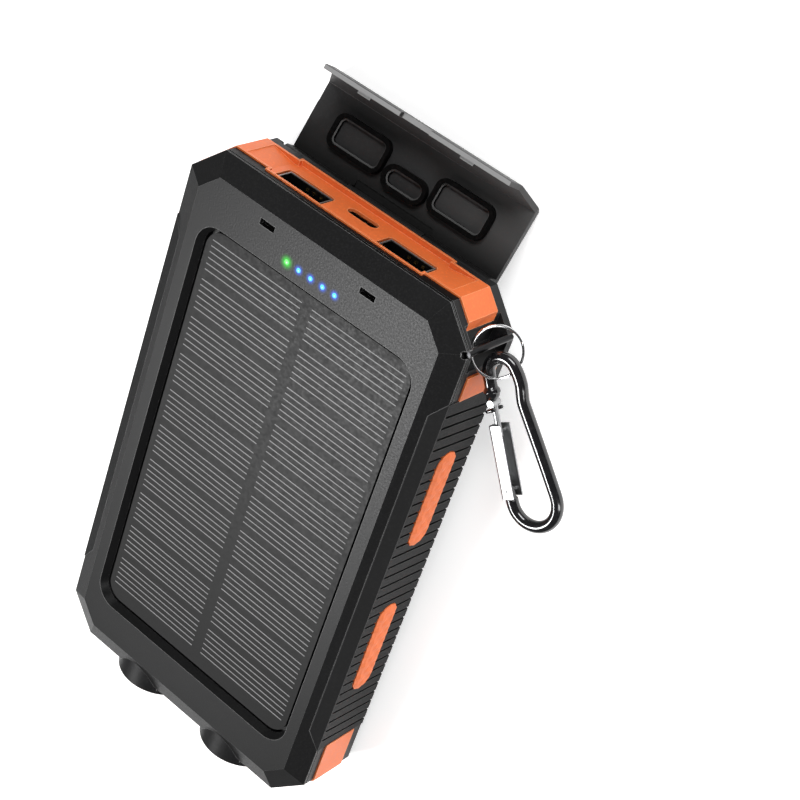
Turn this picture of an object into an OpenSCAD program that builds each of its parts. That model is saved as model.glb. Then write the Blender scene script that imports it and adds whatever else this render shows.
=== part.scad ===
// Solar phone charger with port cover, twin lamps, side grips and a clip on a split ring.
// It lies on its back: +Z is the way the solar panel faces, +Y is the port end and
// the origin is the middle of the flat back. The port cover is modelled swung open.

/* [Case] */
// Width over the shell rims
body_w = 84; // [82:0.5:88]
// Length over the shell rims
body_l = 146.6; // [145:0.1:152]
// Thickness from the back to the front face
body_t = 22.6; // [22.6:0.1:24]
// How far the bevel runs in from the rim
bevel_in = 5.5; // [4.5:0.1:5.5]
// Height of the bevel
bevel_h = 2.54; // [2:0.02:2.8]
// Cut of the rim corners, across and along
corner_cut = 8.4; // [8:0.1:9]
// Wall thickness of the shells
wall = 1.8; // [1.6:0.1:2]

/* [Orange frame] */
// How far the frame stands out past the rims
frame_proud = 0.4; // [0.2:0.1:0.6]
// Height of the frame in the thickness direction
frame_h = 10.8; // [10:0.1:11]
// Extra height of the frame on each side of the ports
port_step = 1.15; // [0.8:0.05:1.3]
// Width of the stepped stretch that carries the ports
port_zone_w = 47; // [46:0.5:48]
// Depth of the port recess
recess_d = 1.4; // [1:0.1:1.6]

/* [Solar panel] */
// Width of the recess at the face
panel_w = 66.6; // [64:0.2:67]
// Length of the recess at the face
panel_l = 114.6; // [110:0.2:116]
// Shift of the panel towards the port end
panel_y = -1.2; // [-2:0.1:0]
// Depth of the panel below the face
panel_d = 2.1; // [1.8:0.1:2.2]
// Run of the sloping recess wall
panel_slope = 1; // [0.8:0.1:1.3]

/* [Port cover] */
// Opening angle at which the cover is modelled
cover_open = 111.5; // [0:0.5:115]
// Width of the cover
cover_w = 62.2; // [60:0.2:63]
// Thickness of the cover plate
cover_t = 1.5; // [1.3:0.1:1.5]
// Radius of the hinge pin
hinge_pin_r = 0.6; // [0.5:0.05:0.7]

/* [Lamps] */
// Distance of each lamp from the centre line
lamp_x = 15.3; // [15:0.1:15.6]
// Radius of the lamp lens
lens_r = 8.5; // [8:0.1:8.6]

/* [Clip] */
// Wire diameter of the clip
clip_wire = 2.9; // [2.6:0.1:3]
// Opening angle of the gate
gate_open = 0; // [0:1:20]

/* [Hidden] */
$fn = 64;
half_w = body_w / 2;
half_l = body_l / 2;
mid_z = body_t / 2;
frame_lo = mid_z - frame_h / 2;
frame_hi = mid_z + frame_h / 2;
seam = 0.1;
post_z = 11;
grip_y0 = -52.9;
grip_y1 = 51.7;
grip_seam_x = half_w - 3.1;
frame_w2 = half_w + frame_proud;
frame_l2 = half_l + frame_proud;
recess_y = frame_l2 - recess_d;
usb_a_x = 15.4;
usb_a_z = mid_z + 1.4;
usb_c_z = mid_z - 1.7;
board_top = usb_a_z - 2.9;
board_t = 1;
hinge_y = half_l - 1.7;
hinge_z = 1.7;
barrel_r = 1.35;
cover_in_y = frame_l2 + 0.3;
slot_x = 15.2;
slot_y = half_l - 8.8;
lamp_ring_r = lens_r + 1.5;
visor_r = lamp_ring_r + 0.9;
lamp_face_y = -half_l - 0.7;
pin_x = 41.36;
pin_y = 64.45;
pin_r = 0.9;
ring_c = [44, 64.5, mid_z + 0.3];
ring_r = 5.7;
ring_tilt = 42;
ring_turn = 130;
clip_at = [44.1, 65.05, mid_z + 0.3];
clip_turn = -43.95;
clip_top = [5.2, -1];
clip_top_r = 3.7;
clip_end = [33.7, -4.2];
clip_end_r = 5.9;
gate_s0 = 16.3;
gate_s1 = 31.2;
gate_tail = 1.6;
pivot_r = 0.45;
link_r = 0.7;
bar_r = 0.8;
bar_reach = 4.9;
nose_r = 1.95;
black = "#26282a";
dark = "#3a3c3e";
orange = "#e8743b";
steel = "#c9ccd0";

// ---- outlines -----------------------------------------------------------

// Eight-sided outline: half width, half length and how far the corners are cut.
function octagon(hw, hl, cut) = [
    [-hw + cut, -hl], [hw - cut, -hl], [hw, -hl + cut], [hw, hl - cut],
    [hw - cut, hl], [-hw + cut, hl], [-hw, hl - cut], [-hw, -hl + cut]];

// The rim outline moved in or out by d, with the corner faces kept parallel.
module rim_outline(d = 0) {
    polygon(octagon(half_w + d, half_l + d, corner_cut + d * (2 - sqrt(2))));
}

module rounded_rect(w, l, r) {
    hw = w / 2 - r;
    hl = l / 2 - r;
    union() {
        square([w - 2 * r, l], center = true);
        square([w, l - 2 * r], center = true);
        for (x = [-hw, hw], y = [-hl, hl])
            translate([x, y]) circle(r);
    }
}

// Bar along Y made from an X-Z outline.
module along_y(y0, y1) {
    translate([0, y1, 0]) rotate([90, 0, 0]) linear_extrude(y1 - y0) children();
}

// Bar along X made from a Y-Z outline.
module along_x(x0, x1) {
    translate([x0, 0, 0]) rotate([90, 0, 90]) linear_extrude(x1 - x0) children();
}

module cyl_y(r, y0, y1, r2 = -1) {
    translate([0, y0, 0]) rotate([-90, 0, 0]) cylinder(h = y1 - y0, r1 = r, r2 = r2 < 0 ? r : r2);
}

module at_lamps() {
    for (side = [-1, 1]) translate([side * lamp_x, 0, mid_z]) children();
}

// ---- shells -------------------------------------------------------------

// Solid half of the case: bevelled face and straight wall, face up, open side at z = 0.
module shell_blank(h) {
    hull() {
        translate([0, 0, h - bevel_h - 0.01]) linear_extrude(0.01) rim_outline();
        translate([0, 0, h - 0.01]) linear_extrude(0.01) rim_outline(-bevel_in);
    }
    linear_extrude(h - bevel_h) rim_outline();
}

// Inside of a shell: leaves a wall all round and a plate at the face.
module shell_hollow(h, plate) {
    translate([0, 0, -1]) linear_extrude(h - plate + 1)
        polygon(octagon(half_w - wall - 1.9, half_l - wall, corner_cut + 1));
}

// Half-round housings that hold the lamps, tapering into the bevel.
module lamp_housings(grow = 0) {
    at_lamps() cyl_y(visor_r + grow, -half_l - 2.1, -half_l + 6.2, visor_r - 0.35 + grow);
}

module lamp_bores() {
    at_lamps() cyl_y(lamp_ring_r + seam, -half_l - 3, -half_l + 12.4);
}

// Room for a side grip, drawn for the right side.
module grip_profile(d = 0) {
    polygon([[grip_seam_x - d, 3.2], [grip_seam_x - d, -1], [half_w + 2, -1],
        [half_w + 2, body_t + 1], [grip_seam_x - d, body_t + 1],
        [grip_seam_x - d, body_t - 3.2], [half_w - 1.9 - d, body_t - 3.9],
        [half_w - 1.9 - d, 3.9]]);
}

module grip_plan(d = 0) {
    polygon([[grip_seam_x - 3, grip_y0 + 7.6 - d], [grip_seam_x, grip_y0 + 4.9 - d],
        [half_w, grip_y0 - d], [half_w + 3, grip_y0 - d], [half_w + 3, grip_y1 + d],
        [half_w, grip_y1 + d], [grip_seam_x, grip_y1 - 4.4 + d],
        [grip_seam_x - 3, grip_y1 - 7.1 + d]]);
}

module grip_seat(d = 0) {
    intersection() {
        along_y(grip_y0 - 1, grip_y1 + 1) grip_profile(d);
        translate([0, 0, -2]) linear_extrude(body_t + 4) grip_plan(d);
    }
}

module both_sides() {
    for (side = [0, 1]) mirror([side, 0, 0]) children();
}

// Pocket at the port-end right corner where the split ring hangs on its pin.
module notch_plan(d = 0) {
    polygon([[37.9 - d, 70.4 + d], [50, 82], [50, 59.4 - d], [41.6 - d, 59.4 - d],
        [37.4 - d, 61.8 - d]]);
}

// Everything but a strip along the rim on the port side of the pocket.
module notch_keep(d) {
    rim_outline(d);
    translate([30, 50]) square([20, 16]);
}

module notch(z0, z1, d = 0) {
    translate([0, 0, z0]) linear_extrude(z1 - z0) notch_plan(d);
}

module pin_bore(r = pin_r) {
    translate([pin_x, pin_y, 2]) cylinder(h = body_t - 4, r = r);
}

module front_shell() {
    h = body_t - frame_hi - seam;
    color(dark) difference() {
        union() {
            difference() {
                translate([0, 0, body_t - h]) shell_blank(h);
                translate([0, 0, body_t - h]) shell_hollow(h, panel_d + 2.6);
            }
            screw_posts(post_z + seam, body_t - panel_d - 2);
            intersection() {
                lamp_housings();
                translate([-40, -80, frame_hi + seam]) cube([80, 30, body_t]);
            }
        }
        // fine parting groove just below the rim
        translate([0, 0, body_t - bevel_h - 0.9]) linear_extrude(0.4) difference() {
            rim_outline(1);
            rim_outline(-0.4);
        }
        // recess for the panel with sloping walls
        translate([0, panel_y, 0]) hull() {
            translate([0, 0, body_t]) linear_extrude(0.02)
                rounded_rect(panel_w, panel_l, 6);
            translate([0, 0, body_t - panel_d]) linear_extrude(0.02)
                rounded_rect(panel_w - 2 * panel_slope, panel_l - 2 * panel_slope, 5);
        }
        translate([0, panel_y, body_t - panel_d - 1.6]) linear_extrude(2)
            rounded_rect(panel_w - 2 * panel_slope, panel_l - 2 * panel_slope, 5);
        lamp_bores();
        // latch slots
        for (side = [-1, 1]) translate([side * slot_x, slot_y, body_t - 1.3])
            translate([-2.25, -0.8, 0]) cube([4.5, 1.6, 3]);
        light_pipes(0.05);
        both_sides() grip_seat(0.08);
        // stepped stretch of the frame
        port_block(0.1);
        notch(4, body_t - 4.6, 0);
        pin_bore();
        screw_bores(16.2);
    }
}

module rear_shell() {
    h = frame_lo - seam;
    color(black) difference() {
        union() {
            difference() {
                translate([0, 0, h]) mirror([0, 0, 1]) shell_blank(h);
                translate([0, 0, h]) mirror([0, 0, 1]) shell_hollow(h, 2.2);
            }
            intersection() {
                lamp_housings();
                translate([-40, -80, frame_lo - seam - body_t]) cube([80, 30, body_t]);
            }
            screw_posts(1, post_z);
            // wall behind the split ring
            translate([0, 0, 2]) linear_extrude(frame_hi - 2) intersection() {
                notch_plan(1.5);
                rim_outline(-0.2);
                notch_keep(-1.6);
            }
        }
        lamp_bores();
        both_sides() grip_seat(0.08);
        port_block(0.1);
        // room for the cover hinge
        translate([-cover_w / 2 - 0.35, hinge_y - barrel_r - 0.95, -1])
            cube([cover_w + 0.7, 20, hinge_z + barrel_r + 1.35]);
        notch(4.6, 30, 0);
        pin_bore();
        screw_bores(body_t);
    }
    color(black) difference() {
        union() {
            hinge_knuckle(-11.4, 11.4);
            along_x(-11.4, 11.4) polygon([[hinge_y - 3, hinge_z - barrel_r],
                [hinge_y, hinge_z - barrel_r], [hinge_y, hinge_z + barrel_r],
                [hinge_y - 3, hinge_z + barrel_r + 0.6]]);
        }
        hinge_hole(hinge_pin_r);
    }
}

// ---- orange frame -------------------------------------------------------

// The stretch of frame behind the ports, which is taller than the rest.
module port_block(d = 0) {
    w = port_zone_w / 2 + d;
    translate([-w, half_l - 3.2, frame_lo - port_step - d])
        cube([2 * w, 6, frame_h + 2 * port_step + 2 * d]);
}

module usb_a_hole(w, h, y0, y1) {
    r = 1.1;
    translate([0, y1, 0]) rotate([90, 0, 0]) linear_extrude(y1 - y0) rounded_rect(w, h, r);
}

module mid_frame() {
    ramp = 6.5;
    rim = 0.6;
    hw = cover_w / 2 - 0.2;
    color(orange) difference() {
        union() {
            difference() {
                translate([0, 0, frame_lo]) linear_extrude(frame_h) rim_outline(frame_proud);
                translate([0, 0, 0]) linear_extrude(body_t)
                    polygon(octagon(half_w - wall - 1.9, half_l - 2.6, corner_cut + 0.6));
            }
            intersection() {
                port_block();
                translate([0, 0, -10]) linear_extrude(50) rim_outline(frame_proud);
            }
            at_lamps() cyl_y(lamp_ring_r, -half_l - 1.3, -half_l + 10);
        }
        // port recess: sloping ends, flat floor, thin rims front and back
        translate([0, 0, frame_lo + rim]) linear_extrude(frame_h - 2 * rim)
            polygon([[-hw, frame_l2 + 1], [-hw, frame_l2 - 0.3], [-hw + ramp, recess_y],
                [hw - ramp, recess_y], [hw, frame_l2 - 0.3], [hw, frame_l2 + 1]]);
        translate([-port_zone_w / 2 + rim, recess_y, frame_lo - port_step + rim])
            cube([port_zone_w - 2 * rim, 5, frame_h + 2 * port_step - 2 * rim]);
        for (side = [-1, 1]) translate([side * usb_a_x, 0, usb_a_z])
            usb_a_hole(14.2, 6.5, half_l - 10, half_l + 5);
        translate([0, 0, usb_c_z]) translate([0, half_l + 5, 0]) rotate([90, 0, 0])
            linear_extrude(7) rounded_rect(8.7, 2.8, 1.39);
        translate([-4.7, half_l - 12, usb_c_z - 1.8]) cube([9.4, 10.3, 3.6]);
        at_lamps() cyl_y(lens_r + 0.2, -half_l - 3, -half_l + 1.6);
        at_lamps() cyl_y(lens_r - 0.4, -half_l - 3, -half_l + 12);
        // seats for the grips and the oval inserts
        both_sides() grip_seat(0.08);
        both_sides() insert_shapes(half_w - 3, 0.1);
        // ring pocket; on the port side the frame's skin reaches its edge
        notch(-1, 30, 0.1);
        translate([0, 0, -1]) linear_extrude(31) intersection() {
            notch_plan(1.6);
            notch_keep(-1.5);
        }
        button_path(0.3);
    }
}

// ---- side grips ---------------------------------------------------------

module insert_shapes(x0, d = 0) {
    for (y = [22.8, -22.4]) translate([x0, y, mid_z + 0.6]) rotate([90, 0, 90])
        linear_extrude(half_w + 0.9 - x0) {
            square([27 - 7 + 0.01, 7 + 2 * d], center = true);
            for (s = [-10, 10]) translate([s, 0]) circle(3.5 + d);
        }
}

// Rubber side grip, drawn for the right side, ribbed across its flat.
module side_grip(holes) {
    pitch = 3.06;
    difference() {
        intersection() {
            along_y(grip_y0, grip_y1) polygon([[grip_seam_x, 3.2], [grip_seam_x, 1.1],
                [half_w + 0.2, bevel_h - 0.1], [half_w + 0.2, body_t - bevel_h + 0.1],
                [grip_seam_x, body_t - 1.1], [grip_seam_x, body_t - 3.2],
                [half_w - 1.9, body_t - 3.9], [half_w - 1.9, 3.9]]);
            translate([0, 0, -2]) linear_extrude(body_t + 4) grip_plan();
        }
        // slightly slanted grooves, open at the back edge
        for (y = [grip_y0 + 2.6 : pitch : grip_y1 - 1.4])
            translate([half_w - 0.9, y, mid_z]) rotate([-4.5, 0, 0])
                translate([0, -0.35, -mid_z]) cube([2, 0.7, body_t - 2.8]);
        insert_shapes(half_w - 3, 0.1);
        if (holes) mirror([1, 0, 0]) button_path(0.3);
    }
}

module side_grip_right() {
    color(black) side_grip(false);
}

module side_grip_left() {
    color(black) mirror([1, 0, 0]) side_grip(true);
}

module grip_inserts() {
    color(orange) both_sides() insert_shapes(half_w - 2.4);
}

// ---- solar panel and lights --------------------------------------------

module panel_sheet(z, t, inset) {
    translate([0, panel_y, z]) linear_extrude(t)
        rounded_rect(panel_w - 2 * panel_slope - inset, panel_l - 2 * panel_slope - inset, 4.8);
}

module solar_panel() {
    color("#34363a") panel_sheet(body_t - panel_d - 1, 1, 1.3);
}

module panel_backing() {
    color("#1c1c1e") panel_sheet(body_t - panel_d - 1.5, 0.45, 3);
}

module light_pipes(d = 0) {
    for (i = [-2 : 2]) translate([i * 3.65, 59.5, body_t - panel_d - 2.7])
        cylinder(h = panel_d + 2.7 + (d > 0 ? 1 : 0.02), r = 0.5 + d, $fn = 24);
}

module status_lights() {
    color("#4aa8ff") light_pipes();
}

// ---- electronics --------------------------------------------------------

module main_board() {
    color("#1f5a35") difference() {
        translate([-29, 47, board_top - board_t]) cube([58, half_l - 3.4 - 47, board_t]);
        translate([-4.8, half_l - 10.6, 0]) cube([9.6, 20, body_t]);
    }
}

module battery(z) {
    color("#b8bcc0") translate([0, -6, z]) linear_extrude(6.9) rounded_rect(64, 100, 2.5);
}

module battery_upper() {
    battery(10.3);
}

module battery_lower() {
    battery(3);
}

// USB-A socket: a folded steel shell, open towards +Y.
module usb_a(side) {
    y0 = half_l - 14;
    y1 = recess_y - 0.2;
    color(steel) translate([side * usb_a_x, 0, usb_a_z]) difference() {
        translate([-6.55, y0, -2.85]) cube([13.1, y1 - y0, 5.7]);
        translate([-6.25, y0 + 1.2, -2.55]) cube([12.5, y1 - y0, 5.1]);
    }
}

module usb_a_left() {
    usb_a(-1);
}

module usb_a_right() {
    usb_a(1);
}

module usb_a_tongues() {
    color("#111214") for (side = [-1, 1])
        translate([side * usb_a_x - 5.5, half_l - 12.75, usb_a_z + 0.3]) cube([11, 9, 1.85]);
}

module usb_c() {
    y0 = half_l - 9.6;
    y1 = half_l - 2.1;
    color(steel) translate([0, y1, usb_c_z]) rotate([90, 0, 0]) difference() {
        linear_extrude(y1 - y0) rounded_rect(8.94, 3.16, 1.57);
        translate([0, 0, -1]) linear_extrude(y1 - y0) rounded_rect(8.34, 2.56, 1.27);
    }
}

module usb_c_tongue() {
    color("#111214") translate([-3.3, half_l - 8.55, usb_c_z - 0.35]) cube([6.6, 5.4, 0.7]);
}

module lamp_board() {
    color("#1f5a35") translate([-27, -60.4, 3.4]) cube([54, 1.2, body_t - 8.6]);
}

module lamp_emitters() {
    color("#f4e9a0") at_lamps() translate([-1.75, -61.4, -1.75]) cube([3.5, 0.95, 3.5]);
}

module lamp_reflector(side) {
    color("#dfe3e6") translate([side * lamp_x, 0, mid_z]) difference() {
        cyl_y(lens_r - 0.5, -half_l + 1.4, -61.6);
        cyl_y(lens_r - 0.9, -half_l + 1.3, -62.4, 2.6);
        cyl_y(2.6, -63, -61);
    }
}

module lamp_reflector_left() {
    lamp_reflector(-1);
}

module lamp_reflector_right() {
    lamp_reflector(1);
}

module lamp_lens(side) {
    color("#f4f8ff") translate([side * lamp_x, 0, mid_z])
        cyl_y(lens_r + 0.1, -half_l - 0.7, -half_l + 1.3);
}

module lamp_lens_left() {
    lamp_lens(-1);
}

module lamp_lens_right() {
    lamp_lens(1);
}

// Power button on the left side, between the two inserts.
module button_path(d = 0) {
    translate([-half_w - 3, 0, mid_z + 0.6]) rotate([90, 0, 90]) linear_extrude(7.6)
        button_outline(d);
}

module button_outline(d = 0) {
    square([5, 5 + 2 * d], center = true);
    for (s = [-2.5, 2.5]) translate([s, 0]) circle(2.5 + d);
}

module power_button() {
    color("#2f3133") translate([-half_w - 0.7, 0, mid_z + 0.6]) rotate([90, 0, 90])
        linear_extrude(4.1) button_outline();
}

module button_switch() {
    color(steel) translate([-half_w + 4.5, -2.5, mid_z - 1.9]) cube([1.6, 5, 5]);
}

// ---- screws -------------------------------------------------------------

module at_screws() {
    for (x = [-34.6, 34.6], y = [-47, 8, 53]) translate([x, y, 0]) children();
}

module screw_posts(z0, z1) {
    at_screws() translate([0, 0, z0]) cylinder(h = z1 - z0, r = 2.2);
}

module screw_bores(top) {
    at_screws() {
        translate([0, 0, -1]) cylinder(h = top + 1, r = 0.85);
        translate([0, 0, -1]) cylinder(h = 2.1, r = 1.75);
    }
}

module case_screws() {
    color(steel) at_screws() difference() {
        union() {
            translate([0, 0, 0.2]) cylinder(h = 0.85, r = 1.6);
            translate([0, 0, 0.9]) cylinder(h = 14.6, r = 0.75);
        }
        translate([-0.9, -0.2, -0.1]) cube([1.8, 0.4, 0.7]);
        translate([-0.2, -0.9, -0.1]) cube([0.4, 1.8, 0.7]);
    }
}

// ---- port cover ---------------------------------------------------------

module hinge_hole(r) {
    translate([-60, hinge_y, hinge_z]) rotate([0, 90, 0]) cylinder(h = 120, r = r);
}

module hinge_knuckle(x0, x1) {
    translate([x0, hinge_y, hinge_z]) rotate([0, 90, 0]) cylinder(h = x1 - x0, r = barrel_r);
}

// Turns a closed-cover shape to the modelled opening angle.
module opened() {
    translate([0, hinge_y, hinge_z]) rotate([-cover_open, 0, 0])
        translate([0, -hinge_y, -hinge_z]) children();
}

module cover_section() {
    out_y = cover_in_y + cover_t;
    polygon([[cover_in_y, hinge_z + barrel_r], [cover_in_y, 20.07], [67.76, 22.9],
        [63.1, 22.9], [63.1, 23.9], [63.5, 24.1], [68.03, 24.1], [out_y - 0.6, 21.1],
        [out_y, 20.5], [out_y, hinge_z + 0.1], [out_y - 1.3, hinge_z - barrel_r],
        [hinge_y, hinge_z - barrel_r], [hinge_y, hinge_z + barrel_r]]);
}

module hinge_pin() {
    color(steel) translate([-30.4, hinge_y, hinge_z]) rotate([0, 90, 0])
        cylinder(h = 60.8, r = hinge_pin_r);
}

module port_cover() {
    hw = cover_w / 2;
    color(dark) opened() difference() {
        union() {
            along_x(-hw, hw) cover_section();
            hinge_knuckle(-hw, hw);
            // small hooks that snap into the latch slots
            for (side = [-1, 1]) translate([side * slot_x - 1.9, slot_y - 0.5, 22.2])
                cube([3.8, 1, 1]);
        }
        // bevelled ends of the lip
        for (side = [-1, 1]) mirror([side < 0 ? 1 : 0, 0, 0]) translate([0, 0, 15])
            linear_extrude(20) polygon([[hw - 3.9, 60], [hw + 1, 60], [hw + 1, 74.2],
                [hw, 74.2], [hw - 3.3, 67.8]]);
        // finger notch in the middle of the lip
        translate([-4.4, 60, 20]) cube([8.8, 4.6, 10]);
        // gap for the knuckle of the case
        translate([-11.7, hinge_y - 4, -3]) cube([23.4, 4 + 2.8, 3 + 4.75]);
        hinge_hole(hinge_pin_r + 0.06);
    }
}

// Rubber ring that closes round a port, with a lower ledge inside: outer size, corner radius.
module seal(w, h, r, x, z) {
    lip = 1.05;
    ledge = 1.5;
    opened() translate([x, cover_in_y, z]) rotate([90, 0, 0]) difference() {
        linear_extrude(1.6) rounded_rect(w, h, r);
        translate([0, 0, 0.9]) linear_extrude(4) rounded_rect(w - 2 * lip, h - 2 * lip, r - lip);
        translate([0, 0, -1]) linear_extrude(4)
            rounded_rect(w - 2 * ledge, h - 2 * ledge, r - ledge);
    }
}

module seal_usb_a_left() {
    color("#161718") seal(16.4, 8.8, 2.6, -usb_a_x, usb_a_z - 0.75);
}

module seal_usb_a_right() {
    color("#161718") seal(16.4, 8.8, 2.6, usb_a_x, usb_a_z - 0.75);
}

module seal_usb_c() {
    color("#161718") seal(12.6, 6.2, 3.05, 0, usb_c_z);
}

// ---- ring and clip ------------------------------------------------------

module lanyard_pin() {
    color(steel) translate([pin_x, pin_y, 3]) cylinder(h = body_t - 6.2, r = pin_r);
}

// Split ring, as one closed round ring.
module split_ring() {
    color(steel) translate(ring_c) rotate([0, 0, ring_turn]) rotate([ring_tilt, 0, 0])
        rotate_extrude() translate([ring_r, 0]) circle(0.5, $fn = 24);
}

// Wire bend: centre, radius and the angles it runs between.
module bend(c, r, a0, a1) {
    translate([c[0], c[1], 0]) rotate([0, 0, a0]) rotate_extrude(angle = a1 - a0)
        translate([r, 0]) circle(clip_wire / 2, $fn = 32);
}

module wire(p, q, r = clip_wire / 2) {
    v = q - p;
    translate([p[0], p[1], 0]) rotate([0, 0, atan2(v[1], v[0])]) rotate([0, 90, 0])
        cylinder(h = norm(v), r = r, $fn = 32);
}

module collar(p, a) {
    translate([p[0], p[1], 0]) rotate([0, 0, a]) rotate([90, 0, 0]) translate([0, 0, -0.4])
        cylinder(h = 0.8, r = clip_wire / 2 + 0.06, $fn = 32);
}

// Angle between the centre line of the two bends and each straight side.
clip_gap = norm(clip_end - clip_top);
clip_axis = atan2(clip_end[1] - clip_top[1], clip_end[0] - clip_top[0]);
clip_lean = asin((clip_end_r - clip_top_r) / clip_gap);
spine_a = clip_axis + 90 + clip_lean;
gate_a = clip_axis - 90 - clip_lean;

function on_circle(c, r, a) = c + r * [cos(a), sin(a)];
// Point on the gate side of the clip, s millimetres from its top bend.
function gate_point(s) =
    let (a = on_circle(clip_top, clip_top_r, gate_a), b = on_circle(clip_end, clip_end_r, gate_a))
    a + (b - a) * (s - 5.2) / 28.5;

gate_len = norm(gate_point(gate_s0) - gate_point(gate_s1));

module placed_clip() {
    translate(clip_at) rotate([0, 0, clip_turn]) children();
}

module clip_body() {
    color("#17181a") placed_clip() {
        bend(clip_top, clip_top_r, spine_a, gate_a + 360);
        bend(clip_end, clip_end_r, gate_a, spine_a);
        wire(on_circle(clip_top, clip_top_r, spine_a), on_circle(clip_end, clip_end_r, spine_a));
        // welded joints between the bends and the straights
        for (a = [spine_a, gate_a]) {
            collar(on_circle(clip_top, clip_top_r, a), a);
            collar(on_circle(clip_end, clip_end_r, a), a);
        }
        nose();
        difference() {
            union() {
                wire(gate_point(33.7), gate_point(gate_s1 + gate_tail + 0.3));
                wire(gate_point(gate_s1 + gate_tail + 0.6), gate_point(gate_s1 - 0.9), 1.05);
            }
            gate_frame() translate([0, 0, -3]) cylinder(h = 6, r = pivot_r + 0.05, $fn = 24);
        }
    }
}

module gate_frame() {
    g = gate_point(gate_s1);
    dir = gate_point(gate_s0) - g;
    translate([g[0], g[1], 0]) rotate([0, 0, atan2(dir[1], dir[0]) - gate_open]) children();
}

// Swollen nose of the clip with a notch, open to the inside, for the cross bar of the gate.
module nose() {
    tip = gate_s1 - gate_len - bar_reach + 1.9;
    difference() {
        union() {
            wire(gate_point(5.2), gate_point(tip - 0.5));
            wire(gate_point(tip - 4.6), gate_point(tip), nose_r);
        }
        gate_frame() translate([gate_len + bar_reach, 0, 0]) {
            translate([0, 0, -3]) cylinder(h = 6, r = bar_r + 0.3, $fn = 32);
            translate([-bar_r - 0.2, -4, -3]) cube([2 * bar_r + 0.4, 4, 6]);
            translate([-4, -4, -link_r - 0.25]) cube([4, 5.2, 2 * link_r + 0.5]);
        }
    }
}

// Folded channel, open to the inside of the loop.
module clip_gate() {
    color(steel) placed_clip() gate_frame() difference() {
        translate([-gate_tail, -1.75, -1.95]) cube([gate_len + gate_tail, 3.5, 3.9]);
        translate([-3, -2.7, -1.6]) cube([gate_len + 6, 4, 3.2]);
        rivet_shapes(0, 3);
    }
}

module gate_wire() {
    color(steel) placed_clip() gate_frame() difference() {
        union() {
            translate([gate_len - 2.6, 0, 0]) rotate([0, 90, 0])
                cylinder(h = 2.6 + bar_reach, r = link_r, $fn = 24);
            translate([gate_len + bar_reach, 0, -1.6]) cylinder(h = 3.2, r = bar_r, $fn = 24);
        }
        rivet_shapes(0, 3);
    }
}

// Rivets through the channel: the pivot and the one that holds the link.
module rivet_shapes(d, h) {
    for (x = [0, gate_len - 1.6])
        translate([x, 0, -h]) cylinder(h = 2 * h, r = pivot_r + d, $fn = 24);
}

module gate_rivets() {
    color("#e4e6e8") placed_clip() gate_frame() rivet_shapes(0, 2.2);
}

front_shell();
rear_shell();
mid_frame();
side_grip_left();
side_grip_right();
grip_inserts();
panel_backing();
solar_panel();
status_lights();
main_board();
battery_upper();
battery_lower();
usb_a_left();
usb_a_right();
usb_c();
usb_a_tongues();
usb_c_tongue();
lamp_board();
lamp_emitters();
lamp_reflector_left();
lamp_reflector_right();
lamp_lens_left();
lamp_lens_right();
power_button();
button_switch();
case_screws();
hinge_pin();
port_cover();
seal_usb_a_left();
seal_usb_a_right();
seal_usb_c();
lanyard_pin();
split_ring();
clip_body();
clip_gate();
gate_wire();
gate_rivets();
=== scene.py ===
import math
import bpy
import numpy as np
from mathutils import Matrix, Vector
from mathutils.geometry import delaunay_2d_cdt


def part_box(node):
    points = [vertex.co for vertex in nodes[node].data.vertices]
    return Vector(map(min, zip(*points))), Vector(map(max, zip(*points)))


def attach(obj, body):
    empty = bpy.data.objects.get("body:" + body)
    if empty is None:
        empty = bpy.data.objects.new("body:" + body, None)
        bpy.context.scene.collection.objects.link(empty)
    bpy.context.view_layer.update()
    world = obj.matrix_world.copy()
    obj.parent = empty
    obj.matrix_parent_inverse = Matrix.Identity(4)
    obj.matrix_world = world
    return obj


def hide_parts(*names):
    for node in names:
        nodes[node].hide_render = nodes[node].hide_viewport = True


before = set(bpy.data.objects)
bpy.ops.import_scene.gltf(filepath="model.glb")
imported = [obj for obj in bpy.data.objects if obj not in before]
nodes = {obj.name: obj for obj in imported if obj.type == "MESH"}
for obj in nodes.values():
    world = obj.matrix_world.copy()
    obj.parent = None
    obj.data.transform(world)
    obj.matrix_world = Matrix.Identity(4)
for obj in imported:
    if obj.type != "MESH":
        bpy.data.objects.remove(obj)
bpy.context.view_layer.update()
MM = 0.001
scene = bpy.context.scene


def link(obj):
    scene.collection.objects.link(obj)
    return obj


# ---------------------------------------------------------------- camera
CAMERA_AT = (0.2003, 0.2593, 0.3328)
CAMERA_RIGHT = Vector((0.74093, 0.29391, -0.60386))
CAMERA_UP = Vector((-0.53235, 0.80519, -0.26129))
FOCAL_LENGTH = 85.19
SENSOR_WIDTH = 36.0

cam_data = bpy.data.cameras.new("camera")
cam_data.lens = FOCAL_LENGTH
cam_data.sensor_width = SENSOR_WIDTH
cam_data.clip_start = 0.01
cam = link(bpy.data.objects.new("camera", cam_data))
back = CAMERA_RIGHT.cross(CAMERA_UP).normalized()
up = back.cross(CAMERA_RIGHT).normalized()
turn = Matrix((CAMERA_RIGHT, up, back)).transposed().to_4x4()
cam.matrix_world = Matrix.Translation(CAMERA_AT) @ turn
scene.camera = cam
scene.view_settings.view_transform = "Standard"


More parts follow.
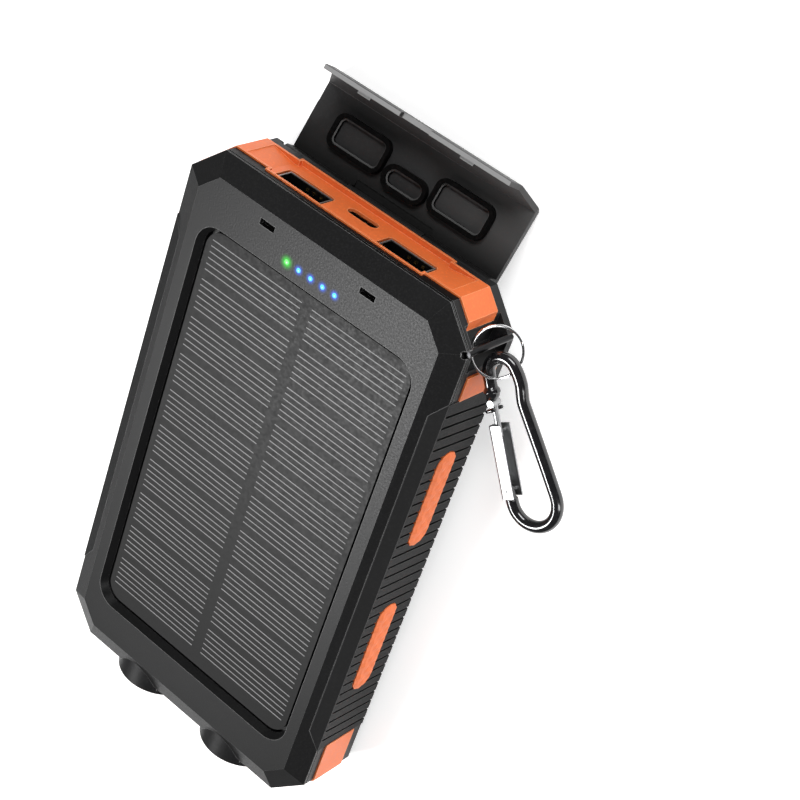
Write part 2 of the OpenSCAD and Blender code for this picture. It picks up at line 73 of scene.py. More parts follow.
# ---------------------------------------------------------------- materials
class Nodes:
    """A small helper round one material's node tree."""

    def __init__(self, name):
        self.mat = bpy.data.materials.new(name)
        self.mat.use_nodes = True
        self.tree = self.mat.node_tree
        self.shader = self.tree.nodes["Principled BSDF"]
        self.coord = self.tree.nodes.new("ShaderNodeTexCoord")

    def add(self, kind, **values):
        n = self.tree.nodes.new(kind)
        for key, value in values.items():
            setattr(n, key, value)
        return n

    def link(self, a, b):
        self.tree.links.new(a, b)

    def noise(self, scale, detail=3.0, rough=0.5, stretch=None):
        n = self.add("ShaderNodeTexNoise")
        n.inputs["Scale"].default_value = scale
        n.inputs["Detail"].default_value = detail
        n.inputs["Roughness"].default_value = rough
        if stretch:
            m = self.add("ShaderNodeMapping")
            m.inputs["Scale"].default_value = stretch
            self.link(self.coord.outputs["Object"], m.inputs["Vector"])
            self.link(m.outputs["Vector"], n.inputs["Vector"])
        else:
            self.link(self.coord.outputs["Object"], n.inputs["Vector"])
        return n.outputs["Fac"]

    def remap(self, fac, a, b, lo, hi):
        n = self.add("ShaderNodeMapRange")
        for key, value in zip(("From Min", "From Max", "To Min", "To Max"), (a, b, lo, hi)):
            n.inputs[key].default_value = value
        self.link(fac, n.inputs["Value"])
        return n.outputs["Result"]

    def mix(self, fac, a, b):
        n = self.add("ShaderNodeMix", data_type="RGBA")
        for socket, value in ((n.inputs[6], a), (n.inputs[7], b)):
            if isinstance(value, tuple):
                socket.default_value = (*value[:3], 1)
            else:
                self.link(value, socket)
        self.link(fac, n.inputs[0])
        return n.outputs[2]

    def bump(self, fac, strength, distance, under=None):
        n = self.add("ShaderNodeBump")
        n.inputs["Strength"].default_value = strength
        n.inputs["Distance"].default_value = distance
        self.link(fac, n.inputs["Height"])
        if under:
            self.link(under, n.inputs["Normal"])
        return n.outputs["Normal"]


def moulded(name, base, rough=0.55, grain=2600, grain_bump=0.25, vary=0.12, coat=0.0, metallic=0.0,
            wear=0.25, spec=0.5, edges=None, extra=None):
    """Moulded plastic or rubber: spark-eroded grain, slight shade and sheen variation."""
    n = Nodes(name)
    s = n.shader
    wide = n.noise(38, 4)
    fine = n.noise(grain, 2, 0.6)
    dark = tuple(c * (1 - vary) for c in base)
    light = tuple(min(1, c * (1 + vary)) for c in base)
    shade = n.mix(n.remap(wide, 0.3, 0.7, 0, 1), dark, light)
    scuff = n.noise(170, 6, 0.75, (1, 0.25, 1))
    rubbed = tuple(min(1, c * 1.25 + 0.012) for c in base)
    shade = n.mix(n.remap(scuff, 0.62, 0.8, 0, wear), shade, rubbed)
    speck = tuple(min(1, c * 1.5 + 0.006) for c in base)
    shade = n.mix(n.remap(fine, 0.5, 0.85, 0, 0.6), shade, speck)
    # painted highlight along sharp edges
    if edges:
        shade = painted_edge_highlight(n, shade, edges)
    if extra:
        shade = extra(n, shade)
    n.link(shade, s.inputs["Base Color"])
    smooth, coarse = max(rough - 0.09, 0.02), min(rough + 0.09, 1)
    n.link(n.remap(fine, 0.25, 0.75, smooth, coarse), s.inputs["Roughness"])
    n.link(n.bump(fine, grain_bump, 0.00004, n.bump(wide, 0.06, 0.0004)), s.inputs["Normal"])
    s.inputs["Metallic"].default_value = metallic
    s.inputs["Coat Weight"].default_value = coat
    s.inputs["Coat Roughness"].default_value = 0.12
    s.inputs["Specular IOR Level"].default_value = spec
    return n.mat


# how far round an edge the painted highlight reaches, in metres
EDGE_RADIUS = 0.00022


def painted_edge_highlight(n, shade, color):
    """Painted highlight on edges: where the surface turns within a fraction of a millimetre."""
    geo = n.add("ShaderNodeNewGeometry")
    soft = n.add("ShaderNodeBevel", samples=6)
    soft.inputs["Radius"].default_value = EDGE_RADIUS
    dot = n.add("ShaderNodeVectorMath", operation="DOT_PRODUCT")
    n.link(geo.outputs["True Normal"], dot.inputs[0])
    n.link(soft.outputs["Normal"], dot.inputs[1])
    return n.mix(n.remap(dot.outputs["Value"], 0.985, 0.93, 0, 1), shade, color)


def metal(name, base, rough=0.2, brushed=(1, 1, 1), bump=0.1):
    """Bare metal: fine brushed lines and a faint cloud in the shade."""
    n = Nodes(name)
    s = n.shader
    line = n.noise(1400, 4, 0.6, brushed)
    cloud = n.noise(120, 4)
    shade = n.mix(n.remap(cloud, 0.3, 0.7, 0, 1), tuple(c * (1 - 0.08) for c in base), base)
    n.link(shade, s.inputs["Base Color"])
    n.link(n.remap(line, 0.3, 0.7, max(rough - 0.07, 0.03), rough + 0.09), s.inputs["Roughness"])
    n.link(n.bump(line, bump, 0.00002), s.inputs["Normal"])
    s.inputs["Metallic"].default_value = 1.0
    return n.mat


def glowing(name, color, strength, base=(0.8, 0.8, 0.8)):
    """A lit lens or light pipe."""
    n = Nodes(name)
    s = n.shader
    cloud = n.noise(500, 3)
    glow = n.mix(n.remap(cloud, 0.3, 0.7, 0, 1), tuple(0.85 * c for c in color), color)
    n.link(glow, s.inputs["Emission Color"])
    s.inputs["Emission Strength"].default_value = strength
    s.inputs["Base Color"].default_value = (*base, 1)
    s.inputs["Roughness"].default_value = 0.3
    return n.mat


# status lights: a green one, then four blue ones, in millimetres
LIGHT_X = [-7.3 + 3.65 * i for i in range(5)]
LIGHT_Y = 59.5
FACE_Z = 22.6


def painted_glow_and_end_shade(n, shade):
    """Painted light: coloured glow on the plastic round each status light; painted shade on the darker end
    walls.
    """
    glow = None
    # painted light: each status light's glow painted as emission on the plastic
    for i, light_x in enumerate(LIGHT_X):
        d = n.add("ShaderNodeVectorMath", operation="DISTANCE")
        n.link(n.coord.outputs["Object"], d.inputs[0])
        d.inputs[1].default_value = tuple(c * MM for c in (light_x, LIGHT_Y, FACE_Z))
        reach = 0.0024 if i == 0 else 0.0018
        near = n.remap(d.outputs["Value"], 0.0005, reach, 1, 0)
        power = n.add("ShaderNodeMath", operation="POWER")
        n.link(near, power.inputs[0])
        power.inputs[1].default_value = 2.6
        tint = (0.01, 0.8, 0.01) if i == 0 else (0.0, 0.13, 0.95)
        glow = n.mix(power.outputs[0], glow or (0, 0, 0), tint)
    n.link(glow, n.shader.inputs["Emission Color"])
    n.shader.inputs["Emission Strength"].default_value = 1.1
    # painted shade: faces turned along +Y, the end walls, darkened near black
    sep = n.add("ShaderNodeSeparateXYZ")
    n.link(n.coord.outputs["Normal"], sep.inputs[0])
    return n.mix(n.remap(sep.outputs["Y"], 0.88, 0.97, 0, 1), shade, (0.003, 0.003, 0.003))


def along(n, direction, source="Object"):
    """Distance along a direction, in metres, or the share of the normal along it."""
    dot = n.add("ShaderNodeVectorMath", operation="DOT_PRODUCT")
    n.link(n.coord.outputs[source], dot.inputs[0])
    dot.inputs[1].default_value = direction
    return dot.outputs["Value"]


def both(n, a, b):
    """The overlap of two masks."""
    product = n.add("ShaderNodeMath", operation="MULTIPLY")
    n.link(a, product.inputs[0])
    n.link(b, product.inputs[1])
    return product.outputs[0]


# outward normal of the open cover's plate
PLATE_OUT = (0.0, 0.3665, 0.9304)


def cover_painted_light_and_shade(n, shade):
    """Painted shade towards the hinge, painted light on the plate towards the clip side and a painted
    highlight on the paler lip end.
    """
    # painted light: the plate lighter towards the clip side
    shade = n.mix(n.remap(along(n, (1, 0, 0)), 0.0, 0.031, 0, 1), shade, (0.062, 0.062, 0.062))
    # painted shade: near black towards the hinge
    shade = n.mix(n.remap(along(n, (0, 1, 0)), 0.0800, 0.0725, 0, 1), shade, (0.002, 0.002, 0.002))
    # painted highlight: the lip's upward end face paler
    tip = both(n, n.remap(along(n, (0, 1, 0)), 0.0930, 0.0933, 0, 1),
               n.remap(along(n, PLATE_OUT, "Normal"), 0.90, 0.97, 0, 1))
    return n.mix(tip, shade, (0.24, 0.24, 0.24))


def socket_painted_shade(n, shade):
    """Bright cut rim; the inside of the shell is painted shade, near black."""
    # painted shade: the shell near black inside, behind its mouth
    return n.mix(n.remap(along(n, (0, 1, 0)), 0.0718, 0.0720, 0, 1), (0.004, 0.004, 0.004), shade)


def seal_ledge_highlight(n, shade):
    """The lower step inside each seal, facing up, is a painted highlight paler than its lip."""
    # painted highlight on the upward faces of the lower step
    step = both(n, n.remap(along(n, PLATE_OUT), 0.02668, 0.02662, 0, 1),
                n.remap(along(n, PLATE_OUT, "Normal"), 0.85, 0.95, 0, 1))
    return n.mix(step, shade, (0.09, 0.09, 0.09))


MATS = {
    "front": moulded("front_plastic", (0.010, 0.010, 0.0103), 0.38, 2300, 0.7, 0.10, wear=0.10,
                     spec=0.14, edges=(0.2, 0.2, 0.2), extra=painted_glow_and_end_shade),
    "rear": moulded("rear_plastic", (0.011, 0.011, 0.0115), 0.5, 2300, 0.5, 0.12, wear=0.2, spec=0.25,
                    edges=(0.06, 0.06, 0.06)),
    "orange": moulded("orange_plastic", (0.72, 0.15, 0.036), 0.45, 1500, 0.12, 0.05, wear=0.05, spec=0.35,
                      edges=(0.95, 0.42, 0.20)),
    "insert": moulded("orange_insert", (0.74, 0.155, 0.036), 0.5, 1500, 0.2, 0.07, wear=0.05, spec=0.3),
    "grip": moulded("grip_rubber", (0.009, 0.009, 0.0093), 0.6, 1800, 0.4, 0.15, wear=0.3, spec=0.16,
                    edges=(0.07, 0.07, 0.07)),
    "cover": moulded("cover_rubber", (0.022, 0.022, 0.0225), 0.5, 1800, 0.3, 0.12, wear=0.2, spec=0.35,
                     edges=(0.16, 0.16, 0.16), extra=cover_painted_light_and_shade),
    "seal": moulded("seal_rubber", (0.0012, 0.0012, 0.0012), 0.5, 1500, 0.2, 0.1, wear=0.03, spec=0.1,
                    extra=seal_ledge_highlight),
    "film": moulded("backing_film", (0.008, 0.008, 0.008), 0.4, 900, 0.1),
    "board": moulded("circuit_board", (0.015, 0.09, 0.04), 0.35, 700, 0.1),
    "black": moulded("socket_plastic", (0.008, 0.008, 0.009), 0.4, 900, 0.1),
    "phosphor": moulded("led_chip", (0.8, 0.68, 0.2), 0.4, 900, 0.1),
    "pouch": metal("battery_pouch", (0.6, 0.61, 0.63), 0.4, (1, 1, 1), 0.2),
    "socket": moulded("socket_steel", (0.20, 0.18, 0.17), 0.32, 1400, 0.1, 0.08, metallic=0.3, wear=0.1,
                      extra=socket_painted_shade),
    "screw": metal("screw_steel", (0.25, 0.25, 0.26), 0.35),
    "pin": metal("pin_steel", (0.02, 0.02, 0.021), 0.3, (1, 1, 0.1)),
    "ring": metal("ring_steel", (0.78, 0.78, 0.79), 0.14),
    "gate": metal("gate_steel", (0.40, 0.405, 0.41), 0.34, (0.3, 1, 1)),
    "mirror": metal("reflector_mirror", (0.88, 0.89, 0.9), 0.08),
    "clip": moulded("clip_paint", (0.008, 0.008, 0.009), 0.16, 600, 0.05, 0.08, coat=0.6, wear=0.1),
    "panel": moulded("solar_glass", (0.006, 0.006, 0.0061), 0.42, 1200, 0.25, 0.08, wear=0.06, spec=0.12),
    "lens": glowing("lamp_lens", (1.0, 0.98, 0.95), 1.5),
    "blue": glowing("light_blue", (0.10, 0.62, 1.0), 1.7, (0.02, 0.1, 0.3)),
    "green": glowing("light_green", (0.20, 1.0, 0.20), 1.7, (0.02, 0.3, 0.02)),
    "contact": metal("contact_gold", (0.9, 0.62, 0.25), 0.25),
    "line": moulded("cell_line", (0.17, 0.17, 0.172), 0.5, 1500, 0.1, 0.1, wear=0.1),
}

LOOK = {
    "front_shell": "front", "rear_shell": "rear", "mid_frame": "orange", "side_grip_left": "grip",
    "side_grip_right": "grip", "grip_inserts": "insert", "panel_backing": "film",
    "solar_panel": "panel", "status_lights": "blue", "main_board": "board",
    "battery_upper": "pouch", "battery_lower": "pouch", "usb_a_left": "socket",
    "usb_a_right": "socket", "usb_c": "socket", "usb_a_tongues": "black",
    "usb_c_tongue": "black", "lamp_board": "board", "lamp_emitters": "phosphor",
    "lamp_reflector_left": "mirror", "lamp_reflector_right": "mirror",
    "lamp_lens_left": "lens", "lamp_lens_right": "lens", "power_button": "grip",
    "button_switch": "socket", "case_screws": "screw", "hinge_pin": "pin",
    "port_cover": "cover", "seal_usb_a_left": "seal", "seal_usb_a_right": "seal",
    "seal_usb_c": "seal", "lanyard_pin": "pin", "split_ring": "ring", "clip_body": "clip",
    "clip_gate": "gate", "gate_wire": "gate", "gate_rivets": "gate",
}
for name, look in LOOK.items():
    mesh = nodes[name].data
    mesh.materials.clear()
    mesh.materials.append(MATS[look])


# width of the rounding on the moulded parts' edges, in millimetres
SOFT_EDGES = {"front_shell": 0.18, "mid_frame": 0.15, "port_cover": 0.15,
              "side_grip_left": 0.12, "side_grip_right": 0.12}


def soften(name, width):
    """Rounds the sharp edges of a CAD node for the look only."""
    mod = nodes[name].modifiers.new("soft_edges", "BEVEL")
    mod.width = width * MM
    mod.segments = 2
    mod.limit_method = "ANGLE"
    mod.angle_limit = math.radians(28)
    mod.harden_normals = False


def piece(name, verts, faces, look, body, smooth=False):
    """A mesh piece given in millimetres that rides on a body."""
    mesh = bpy.data.meshes.new(name)
    mesh.from_pydata([tuple(c * MM for c in v) for v in verts], [], faces)
    mesh.validate()
    mesh.update()
    for poly in mesh.polygons:
        poly.use_smooth = smooth
    mesh.materials.append(MATS[look])
    obj = link(bpy.data.objects.new(name, mesh))
    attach(obj, body)
    return obj


def tube(points, radii, sides):
    """Vertices and faces of a round wire with flat ends, with a radius at each point."""
    pts = [Vector(p) for p in points]
    last = len(pts) - 1
    verts, faces = [], []
    normal = None
    for i, p in enumerate(pts):
        t = (pts[min(i + 1, last)] - pts[max(i - 1, 0)]).normalized()
        if normal is None:
            normal = t.orthogonal().normalized()
        normal = (normal - t * normal.dot(t)).normalized()
        side = t.cross(normal)
        for k in range(sides):
            w = 2 * math.pi * k / sides
            verts.append(p + radii[i] * (math.cos(w) * normal + math.sin(w) * side))
    for i in range(last):
        for k in range(sides):
            m = (k + 1) % sides
            faces.append((i * sides + k, i * sides + m, (i + 1) * sides + m, (i + 1) * sides + k))
    faces.append(tuple(range(sides - 1, -1, -1)))
    faces.append(tuple(last * sides + k for k in range(sides)))
    return verts, faces


def smooth_path(keys, steps):
    """Catmull-Rom curve through key points."""
    out = []
    for i in range(len(keys) - 1):
        p0 = Vector(keys[max(i - 1, 0)])
        p1, p2 = Vector(keys[i]), Vector(keys[i + 1])
        p3 = Vector(keys[min(i + 2, len(keys) - 1)])
        for k in range(steps):
            t = k / steps
            out.append(0.5 * (2 * p1 + (p2 - p0) * t + (2 * p0 - 5 * p1 + 4 * p2 - p3) * t * t
                              + (3 * p1 - p0 - 3 * p2 + p3) * t ** 3))
    out.append(Vector(keys[-1]))
    return out


def mm_box(node):
    """Low and high corners of a CAD node, in millimetres."""
    lo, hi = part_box(node)
    return lo / MM, hi / MM


def add_box(verts, faces, xs, ys, zs):
    base = len(verts)
    verts += [(x, y, z) for x in xs for y in ys for z in zs]
    faces += [tuple(base + v for v in f)
              for f in ((0, 1, 3, 2), (4, 6, 7, 5), (0, 4, 5, 1), (2, 3, 7, 6), (0, 2, 6, 4), (1, 5, 7, 3))]


# ---------------------------------------------------------------- solar cell lines
CELL_GROUPS, LINES_PER_GROUP = 10, 6
FIRST_LINE_Y, GROUP_STEP, LINE_STEP = 51.6, 10.68, 1.58
LINE_START_X, LINE_END_X = 1.6, 30.0
LINE_FOOT, LINE_CREST = 0.15, 0.11
LINE_SUNK, LINE_RISE = 0.02, 0.03

panel_top = mm_box("solar_panel")[1].z
foot_z, crest_z = panel_top - LINE_SUNK, panel_top + LINE_RISE
verts, faces = [], []
for side in (-1, 1):
    for group in range(CELL_GROUPS):
        for row in range(LINES_PER_GROUP):
            y = FIRST_LINE_Y - group * GROUP_STEP - row * LINE_STEP
            base = len(verts)
            for x in sorted((side * LINE_START_X, side * LINE_END_X)):
                verts += [(x, y - LINE_FOOT, foot_z), (x, y - LINE_CREST, crest_z),
                          (x, y + LINE_CREST, crest_z), (x, y + LINE_FOOT, foot_z)]
            faces += [(base, base + 4, base + 5, base + 1), (base + 1, base + 5, base + 6, base + 2),
                      (base + 2, base + 6, base + 7, base + 3), (base, base + 1, base + 2, base + 3),
                      (base + 7, base + 6, base + 5, base + 4)]
piece("cell_lines", verts, faces, "line", "case")

# ---------------------------------------------------------------- status light domes
DOME_R, DOME_RISE = 0.55, 0.16
DOME_RINGS, DOME_SIDES = 5, 24


def light_dome(x, y, z):
    """A low dome on a status light's end."""
    verts, faces = [], []
    for a in range(DOME_RINGS):
        w = math.pi / 2 * a / DOME_RINGS
        for k in range(DOME_SIDES):
            v = 2 * math.pi * k / DOME_SIDES
            verts.append((x + DOME_R * math.cos(w) * math.cos(v), y + DOME_R * math.cos(w) * math.sin(v),
                          z + DOME_RISE * math.sin(w)))
    verts.append((x, y, z + DOME_RISE))
    for a in range(DOME_RINGS - 1):
        low, high = a * DOME_SIDES, (a + 1) * DOME_SIDES
        for k in range(DOME_SIDES):
            m = (k + 1) % DOME_SIDES
            faces.append((low + k, low + m, high + m, high + k))
    top = (DOME_RINGS - 1) * DOME_SIDES
    faces += [(top + k, top + (k + 1) % DOME_SIDES, len(verts) - 1) for k in range(DOME_SIDES)]
    return verts, faces


pipe_top = mm_box("status_lights")[1].z
for i, light_x in enumerate(LIGHT_X):
    verts, faces = light_dome(light_x, LIGHT_Y, pipe_top)
    piece(f"light_dome_{i}", verts, faces, "green" if i == 0 else "blue", "case", True)

# ---------------------------------------------------------------- clip
# The clip is laid out flat in its own axes, then turned to where it hangs.
CLIP_AT = Vector((44.1, 65.05, 11.6))
CLIP_TURN = math.radians(-43.95)
HOOK_R = 1.45
HOOK_STEPS, HOOK_SIDES = 5, 28
BEND_STEPS = 10
# angle at which both bends meet the gate's side of the loop
GATE_ANGLE = 100.8
SMALL_BEND, SMALL_BEND_R, SMALL_BEND_END = (5.2, -1), 3.7, 95
LARGE_BEND, LARGE_BEND_R, LARGE_BEND_START = (33.7, -4.2), 5.9, 88
# ends of the gate's side, how far along the clip the first lies, and the run between them
GATE_A, GATE_B = Vector((4.506, -4.634, 0)), Vector((32.593, -9.995, 0))
GATE_A_AT, GATE_RUN = 5.2, 28.5
# where the nose's two cheeks lie along the clip, and how far above and below its middle
CHEEK_AT, CHEEK_LEVEL = 12.85, 1.43
# the channel of the gate: its ends along the clip, the overhang at its pivot and its section
GATE_S0, GATE_S1, GATE_TAIL = 16.3, 31.2, 1.6
CHANNEL_BACK, CHANNEL_HALF, CHANNEL_LIP = 1.75, 1.95, -1.75
CHANNEL_ROUND, CHANNEL_SHEET = 1.15, 0.36


def clip_point(p):
    """From the clip's own axes to the frame's, in millimetres."""
    c, sn = math.cos(CLIP_TURN), math.sin(CLIP_TURN)
    return (CLIP_AT.x + c * p[0] - sn * p[1], CLIP_AT.y + sn * p[0] + c * p[1],
            CLIP_AT.z + (p[2] if len(p) > 2 else 0))


def gate_line(sv, off=0.0):
    """A point on the gate's side of the loop, moved outwards by off."""
    p = GATE_A + (GATE_B - GATE_A) * ((sv - GATE_A_AT) / GATE_RUN)
    return (p.x, p.y - off, 0)


def bend(centre, radius, start, sweep):
    """Points on a bend, clockwise from start, in degrees."""
    angles = [math.radians(start - k * sweep / BEND_STEPS) for k in range(BEND_STEPS + 1)]
    return [(centre[0] + radius * math.cos(a), centre[1] + radius * math.sin(a), 0) for a in angles]


# from the tip of the nose, round the small bend, along the back and round the large bend
keys = [gate_line(13.1, 1.4), gate_line(12.6, 1.42), gate_line(11.8, 1.45), gate_line(10.7, 1.4),
        gate_line(9.6, 0.2), gate_line(9.0), gate_line(8.4), gate_line(7.8), gate_line(6.6)]
nose_radii = [0.35, 0.48, 0.46, 0.46, 1.6, 1.93, 1.8, HOOK_R, HOOK_R]
keys += bend(SMALL_BEND, SMALL_BEND_R, -GATE_ANGLE, 360 - GATE_ANGLE - SMALL_BEND_END)
keys += [(6.6, 2.85, 0), (8.6, 2.72, 0), (10.6, 2.15, 0), (12.4, 1.72, 0), (15, 1.70, 0), (21, 1.76, 0),
         (27, 1.78, 0), (31.5, 1.74, 0)]
keys += bend(LARGE_BEND, LARGE_BEND_R, LARGE_BEND_START, LARGE_BEND_START + GATE_ANGLE)
plain = len(keys) - len(nose_radii)
# the end inside the gate's channel, thinner than the wire
keys += [gate_line(33.1), gate_line(32.6), gate_line(31.6), gate_line(30.2)]
radii = nose_radii + [HOOK_R] * plain + [HOOK_R, 1.05, 1.0, 0.95]
path = smooth_path([clip_point(k) for k in keys], HOOK_STEPS)
spread = np.interp(np.arange(len(path)) / HOOK_STEPS, np.arange(len(radii)), radii)
verts, faces = tube(path, [float(r) for r in spread], HOOK_SIDES)
# cheeks of the nose above and below the cross bar's link
for level in (-CHEEK_LEVEL, CHEEK_LEVEL):
    cheek = [clip_point(Vector(gate_line(CHEEK_AT, off)) + Vector((0, 0, level)))
             for off in (-1.05, -0.9, 0.0, 0.9, 1.45)]
    more_verts, more_faces = tube(cheek, [0.2, 0.42, 0.47, 0.45, 0.4], 14)
    faces += [tuple(len(verts) + v for v in f) for f in more_faces]
    verts += more_verts
clip = piece("clip_hook", verts, faces, "clip", "clip", True)
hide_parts("clip_body")


def gate_channel():
    """Folded sheet with a rounded back, open to the inside of the loop."""
    start, end = Vector(gate_line(GATE_S1)), Vector(gate_line(GATE_S0))
    run = (end - start).normalized()
    side = Vector((-run.y, run.x, 0))
    mid_a, mid_b = CHANNEL_BACK - CHANNEL_ROUND, CHANNEL_HALF - CHANNEL_ROUND
    corner = [(mid_a + CHANNEL_ROUND * math.cos(a), mid_b + CHANNEL_ROUND * math.sin(a))
              for a in (math.pi / 2 * k / 6 for k in range(7))]
    outer = [(CHANNEL_LIP, -CHANNEL_HALF)] + [(a, -b) for a, b in reversed(corner)]
    outer += corner + [(CHANNEL_LIP, CHANNEL_HALF)]
    shrink = (CHANNEL_ROUND - CHANNEL_SHEET) / CHANNEL_ROUND
    inner = []
    for a, b in reversed(outer):
        if a <= mid_a:
            inner.append((a, b - CHANNEL_SHEET * math.copysign(1, b)))
        else:
            centre_b = math.copysign(mid_b, b)
            inner.append((mid_a + (a - mid_a) * shrink, centre_b + (b - centre_b) * shrink))
    ring = outer + inner
    verts, faces = [], []
    for t in (-GATE_TAIL, (end - start).length):
        for a, b in ring:
            p = start + run * t + side * a
            verts.append(clip_point((p.x, p.y, b)))
    n = len(ring)
    for k in range(n):
        m = (k + 1) % n
        faces.append((k, m, n + m, n + k))
    half_n = n // 2
    for k in range(half_n - 1):
        a, b, c, d = k, k + 1, n - 2 - k, n - 1 - k
        faces += [(d, c, b, a), (n + a, n + b, n + c, n + d)]
    return verts, faces


verts, faces = gate_channel()
channel = piece("gate_channel", verts, faces, "gate", "gate", False)
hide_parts("clip_gate")

# ---------------------------------------------------------------- split ring
# Nearly two turns lie against each other and cross over in a short step.
RING_AT = Vector((44.0, 64.5, 11.6))
RING_R, RING_WIRE_R = 5.7, 0.33
COIL_TURNS, COIL_STEPS, COIL_START = 1.93, 150, 1.0
COIL_GAP, CROSS_OVER = 0.31, 9

ring_turn = Matrix.Rotation(math.radians(130), 3, "Z") @ Matrix.Rotation(math.radians(42), 3, "X")
coil = []
for k in range(COIL_STEPS + 1):
    a = 2 * math.pi * COIL_TURNS * k / COIL_STEPS - COIL_START
    climb = COIL_GAP * max(-1.0, min(1.0, (k / COIL_STEPS - 0.5) * CROSS_OVER))
    coil.append(RING_AT + ring_turn @ Vector((RING_R * math.cos(a), RING_R * math.sin(a), climb)))
verts, faces = tube(coil, [RING_WIRE_R] * len(coil), 12)
ring = piece("key_ring", verts, faces, "ring", "ring", True)
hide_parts("split_ring")

# ---------------------------------------------------------------- socket contacts
SOCKET_X = 15.4
STRIP_X, STRIP_HALF = (-3.5, -1.0, 1.0, 3.5), 0.5
TAB_X, TAB_HALF, TAB_Y = (-0.6, 1.5, 3.6), 0.45, (70.4, 71.0)

verts, faces = [], []
tongue_lo, tongue_hi = mm_box("usb_a_tongues")
shell_lo = mm_box("usb_a_left")[0]
for side in (-1, 1):
    # four strips on the tongue, then three tabs on the shell's lower wall
    for shift in STRIP_X:
        x = side * SOCKET_X + shift
        add_box(verts, faces, (x - STRIP_HALF, x + STRIP_HALF), (tongue_hi.y - 7.4, tongue_hi.y - 0.5),
                (tongue_lo.z - 0.1, tongue_lo.z + 0.2))
    for shift in TAB_X:
        x = side * SOCKET_X + shift
        add_box(verts, faces, (x - TAB_HALF, x + TAB_HALF), TAB_Y, (shell_lo.z + 0.28, shell_lo.z + 0.55))
piece("socket_contacts", verts, faces, "contact", "case")

# ---------------------------------------------------------------- faceted grip inserts
insert_lo, insert_hi = mm_box("grip_inserts")
INSERT_Y = (22.8, -22.4)
INSERT_R, INSERT_HALF = 3.5, 10
STRAIGHT = 2 * INSERT_HALF
WAVE_RISE, WAVE_LENGTH = 0.10, 2.07
EDGE_POINTS, EDGE_GROW, EDGE_SUNK = 120, -0.12, -0.28
FACET_X, FACET_SHIFT, FACET_Y = 1.25, 0.62, 1.05
FACET_REACH, FACET_LOW, FACET_HIGH = 2.95, 0.03, 0.24
INSERT_FACE, INSERT_DEPTH = 0.26, 2.2


def insert_outline(n, grow):
    """A long rounded outline with a slightly wavy edge, centred on zero."""
    turn_length = math.pi * INSERT_R
    out = []
    for k in range(n):
        t = k / n * (2 * math.pi * INSERT_R + 2 * STRAIGHT)
        wave = WAVE_RISE * math.sin(t * 2 * math.pi / WAVE_LENGTH) + grow
        r = INSERT_R + wave
        if t < STRAIGHT:
            out.append((INSERT_HALF - t, r))
        elif t < STRAIGHT + turn_length:
            a = math.pi / 2 + (t - STRAIGHT) / INSERT_R
            out.append((-INSERT_HALF + r * math.cos(a), r * math.sin(a)))
        elif t < 2 * STRAIGHT + turn_length:
            out.append((-INSERT_HALF + t - STRAIGHT - turn_length, -r))
        else:
            a = -math.pi / 2 + (t - 2 * STRAIGHT - turn_length) / INSERT_R
            out.append((INSERT_HALF + r * math.cos(a), r * math.sin(a)))
    return out


def faceted_insert(name, side, yc):
    """An insert with small facets, as a triangulated skin over a grid of high and low points."""
    edge = insert_outline(EDGE_POINTS, EDGE_GROW)
    heights = [EDGE_SUNK] * len(edge)
    grid = []
    for j in range(-3, 4):
        for i in range(-11, 12):
            u = i * FACET_X + (FACET_SHIFT if j % 2 else 0)
            v = j * FACET_Y
            past_straight = max(abs(u) - INSERT_HALF, 0)
            if math.hypot(past_straight, v) < FACET_REACH:
                grid.append(Vector((u, v)))
                heights.append(FACET_LOW if (i + 2 * j) % 3 else FACET_HIGH)
    pts = [Vector(p) for p in edge] + grid
    loop = [(k, (k + 1) % len(edge)) for k in range(len(edge))]
    out_v, _, out_f, orig, _, _ = delaunay_2d_cdt(pts, loop, [], 1, 1e-5)
    zc = (insert_lo.z + insert_hi.z) / 2
    face_x = side * (insert_hi.x - INSERT_FACE)
    verts = []
    for k, v in enumerate(out_v):
        h = heights[orig[k][0]] if orig[k] else 0
        verts.append((face_x + side * h, yc + v.x, zc + v.y))
    count = len(verts)
    faces = [tuple(f) if side > 0 else tuple(reversed(f)) for f in out_f]
    rim = [next(k for k, o in enumerate(orig) if i in o) for i in range(len(edge))]
    for i in rim:
        verts.append((side * (insert_hi.x - INSERT_DEPTH), verts[i][1], verts[i][2]))
    n = len(rim)
    for k in range(n):
        m = (k + 1) % n
        quad = (rim[k], count + k, count + m, rim[m])
        faces.append(quad if side > 0 else tuple(reversed(quad)))
    return piece(name, verts, faces, "insert", "case", False)


made = [faceted_insert(f"insert_{'right' if side > 0 else 'left'}_{i}", side, yc)
        for side in (1, -1) for i, yc in enumerate(INSERT_Y)]
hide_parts("grip_inserts")

for name, width in SOFT_EDGES.items():
    soften(name, width)

# ---------------------------------------------------------------- floor and light
# the floor passes under the back's edge at the lamp end and under the open cover's edge
COVER_HANG = 8.9
CONTACT_SPAN = 156.0
FLOOR_AT = (0, -0.0678, -0.0002)
FLOOR_HALF = 3

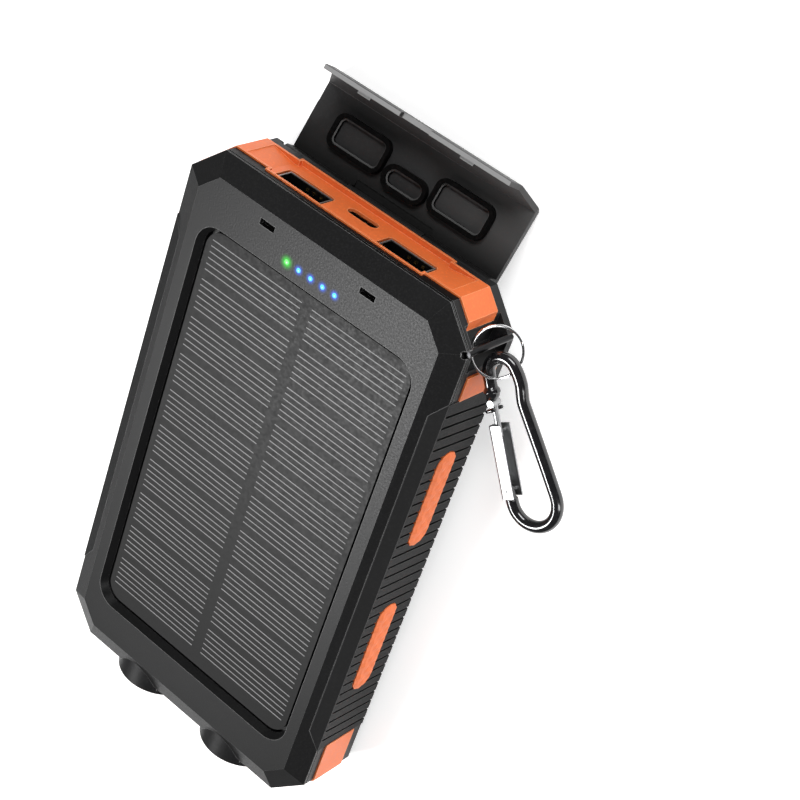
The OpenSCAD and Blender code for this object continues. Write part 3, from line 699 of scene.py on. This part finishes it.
floor_mesh = bpy.data.meshes.new("floor")
corners = [(-FLOOR_HALF, -FLOOR_HALF, 0), (FLOOR_HALF, -FLOOR_HALF, 0),
           (FLOOR_HALF, FLOOR_HALF, 0), (-FLOOR_HALF, FLOOR_HALF, 0)]
floor_mesh.from_pydata(corners, [], [(0, 1, 2, 3)])
floor = link(bpy.data.objects.new("floor", floor_mesh))
floor.location = FLOOR_AT
floor.rotation_euler = (-math.atan2(COVER_HANG, CONTACT_SPAN), 0, 0)
pale = Nodes("pale_floor")
pale.link(pale.mix(pale.remap(pale.noise(6, 3), 0.3, 0.7, 0, 1), (0.86, 0.86, 0.86), (0.9, 0.9, 0.9)),
          pale.shader.inputs["Base Color"])
pale.shader.inputs["Roughness"].default_value = 0.9
pale.shader.inputs["Emission Color"].default_value = (1, 1, 1, 1)
reach = pale.add("ShaderNodeVectorMath", operation="LENGTH")
pale.link(pale.coord.outputs["Object"], reach.inputs[0])
# the floor's glow fades with the distance from its middle, in metres
pale.link(pale.remap(reach.outputs["Value"], 0.26, 0.6, 0.55, 0.0), pale.shader.inputs["Emission Strength"])
floor_mesh.materials.append(pale.mat)


def softbox(name, where, target, size, power):
    """A rectangular area light that faces a target."""
    data = bpy.data.lights.new(name, "AREA")
    data.shape = "RECTANGLE"
    data.size, data.size_y = size
    data.energy = power
    lamp = link(bpy.data.objects.new(name, data))
    lamp.location = where
    aim = Vector(target) - Vector(where)
    lamp.rotation_euler = aim.to_track_quat("-Z", "Y").to_euler()


world = bpy.data.worlds.new("studio")
world.use_nodes = True
world.node_tree.nodes["Background"].inputs["Color"].default_value = (1, 1, 1, 1)
world.node_tree.nodes["Background"].inputs["Strength"].default_value = 0.09
scene.world = world
softbox("key", (0.05, 0.95, 0.6), (0, 0, 0), (0.6, 0.3), 7.5)
softbox("side", (0.85, 0.1, 0.4), (0, 0, 0.01), (0.25, 0.5), 3.2)
softbox("sheen", (-0.32, -0.38, 0.78), (0.01, 0.03, 0.02), (0.24, 0.24), 8.4)
